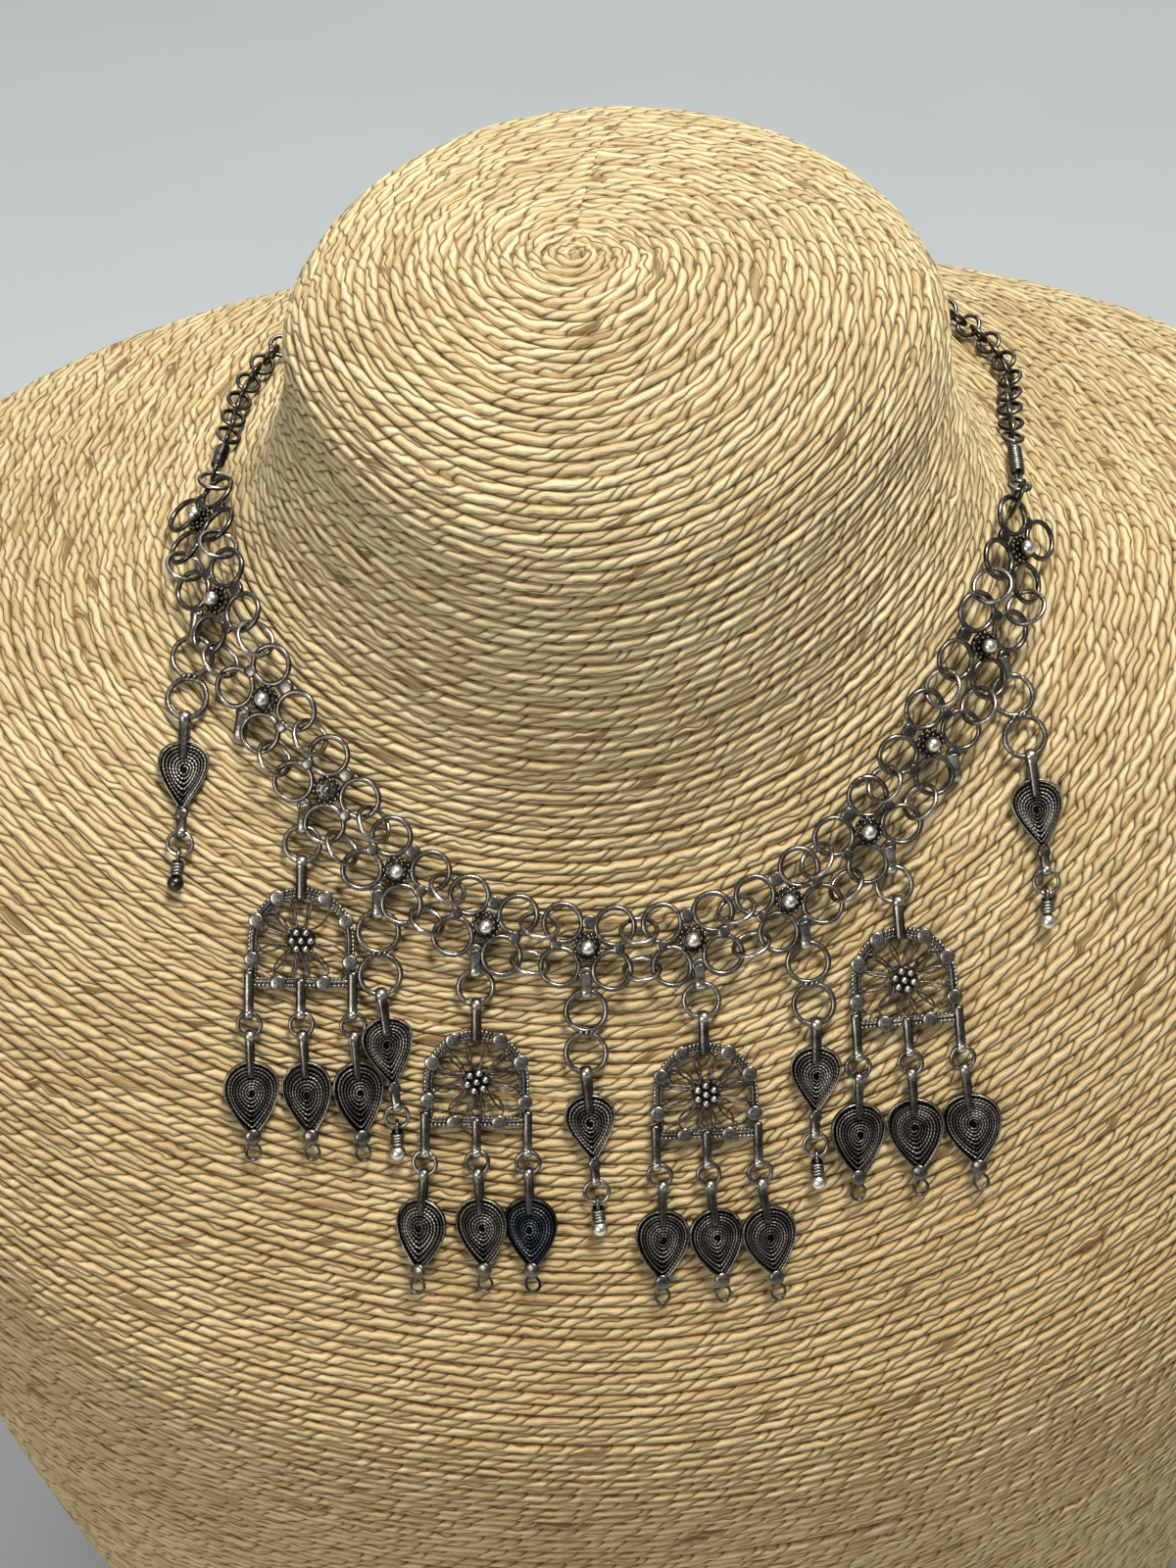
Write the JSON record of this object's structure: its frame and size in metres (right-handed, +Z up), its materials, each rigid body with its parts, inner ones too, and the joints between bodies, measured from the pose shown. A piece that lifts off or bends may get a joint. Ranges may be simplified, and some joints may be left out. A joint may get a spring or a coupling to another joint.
{
  "type": "silver necklace on a rope-wound neck bust",
  "caption": "Old silver necklace of quatrefoil ring units with pierced arch drops, filigree leaves and teardrops, worn on a plain rope-wound neck and shoulder bust.",
  "frame": {"origin": "middle of the bust's flat base, at the middle of the whole object's width and depth", "axes": "+Z up through the neck, -Y towards the viewer and the front of the necklace, +X to the viewer's right"},
  "size_m": [0.292, 0.188, 0.318],
  "materials": {
    "rope": "matt twisted paper rope",
    "silver": "worn oxidised silver",
    "bright_silver": "rubbed silver",
    "dark_silver": "dark oxidised filigree silver"
  },
  "bodies": {
    "root": {"bust": "rope", "unit_l6": "silver", "unit_l5": "silver", "unit_l4": "silver", "unit_l3": "silver", "unit_l2": "silver", "unit_l1": "silver", "unit_c": "silver", "unit_r1": "silver", "unit_r2": "silver", "unit_r3": "silver", "unit_r4": "silver", "unit_r5": "silver", "unit_r6": "silver", "upper_link_rings": "bright_silver", "lower_link_rings": "bright_silver", "ring_pair_l5": "silver", "ring_pair_l2": "silver", "ring_pair_c": "silver", "ring_pair_r2": "silver", "ring_pair_r5": "silver", "teardrop_l5": "dark_silver", "teardrop_l2": "dark_silver", "teardrop_c": "dark_silver", "teardrop_r2": "dark_silver", "teardrop_r5": "dark_silver", "tip_rings": "bright_silver", "ball_l5": "bright_silver", "ball_l2": "bright_silver", "ball_c": "bright_silver", "ball_r2": "bright_silver", "ball_r5": "bright_silver", "hanger_rings": "silver", "arch_l3": "dark_silver", "arch_l1": "dark_silver", "arch_r1": "dark_silver", "arch_r3": "dark_silver", "jump_rings": "silver", "leaf_l3_a": "dark_silver", "leaf_l3_b": "dark_silver", "leaf_l3_c": "dark_silver", "leaf_l1_a": "dark_silver", "leaf_l1_b": "dark_silver", "leaf_l1_c": "dark_silver", "leaf_r1_a": "dark_silver", "leaf_r1_b": "dark_silver", "leaf_r1_c": "dark_silver", "leaf_r3_a": "dark_silver", "leaf_r3_b": "dark_silver", "leaf_r3_c": "dark_silver", "end_ring_left": "bright_silver", "wrapped_link_left": "silver", "end_ring_right": "bright_silver", "wrapped_link_right": "silver", "back_chain_left": "silver", "back_chain_right": "silver", "clasp_hook": "silver"}
  },
  "joints": []
}
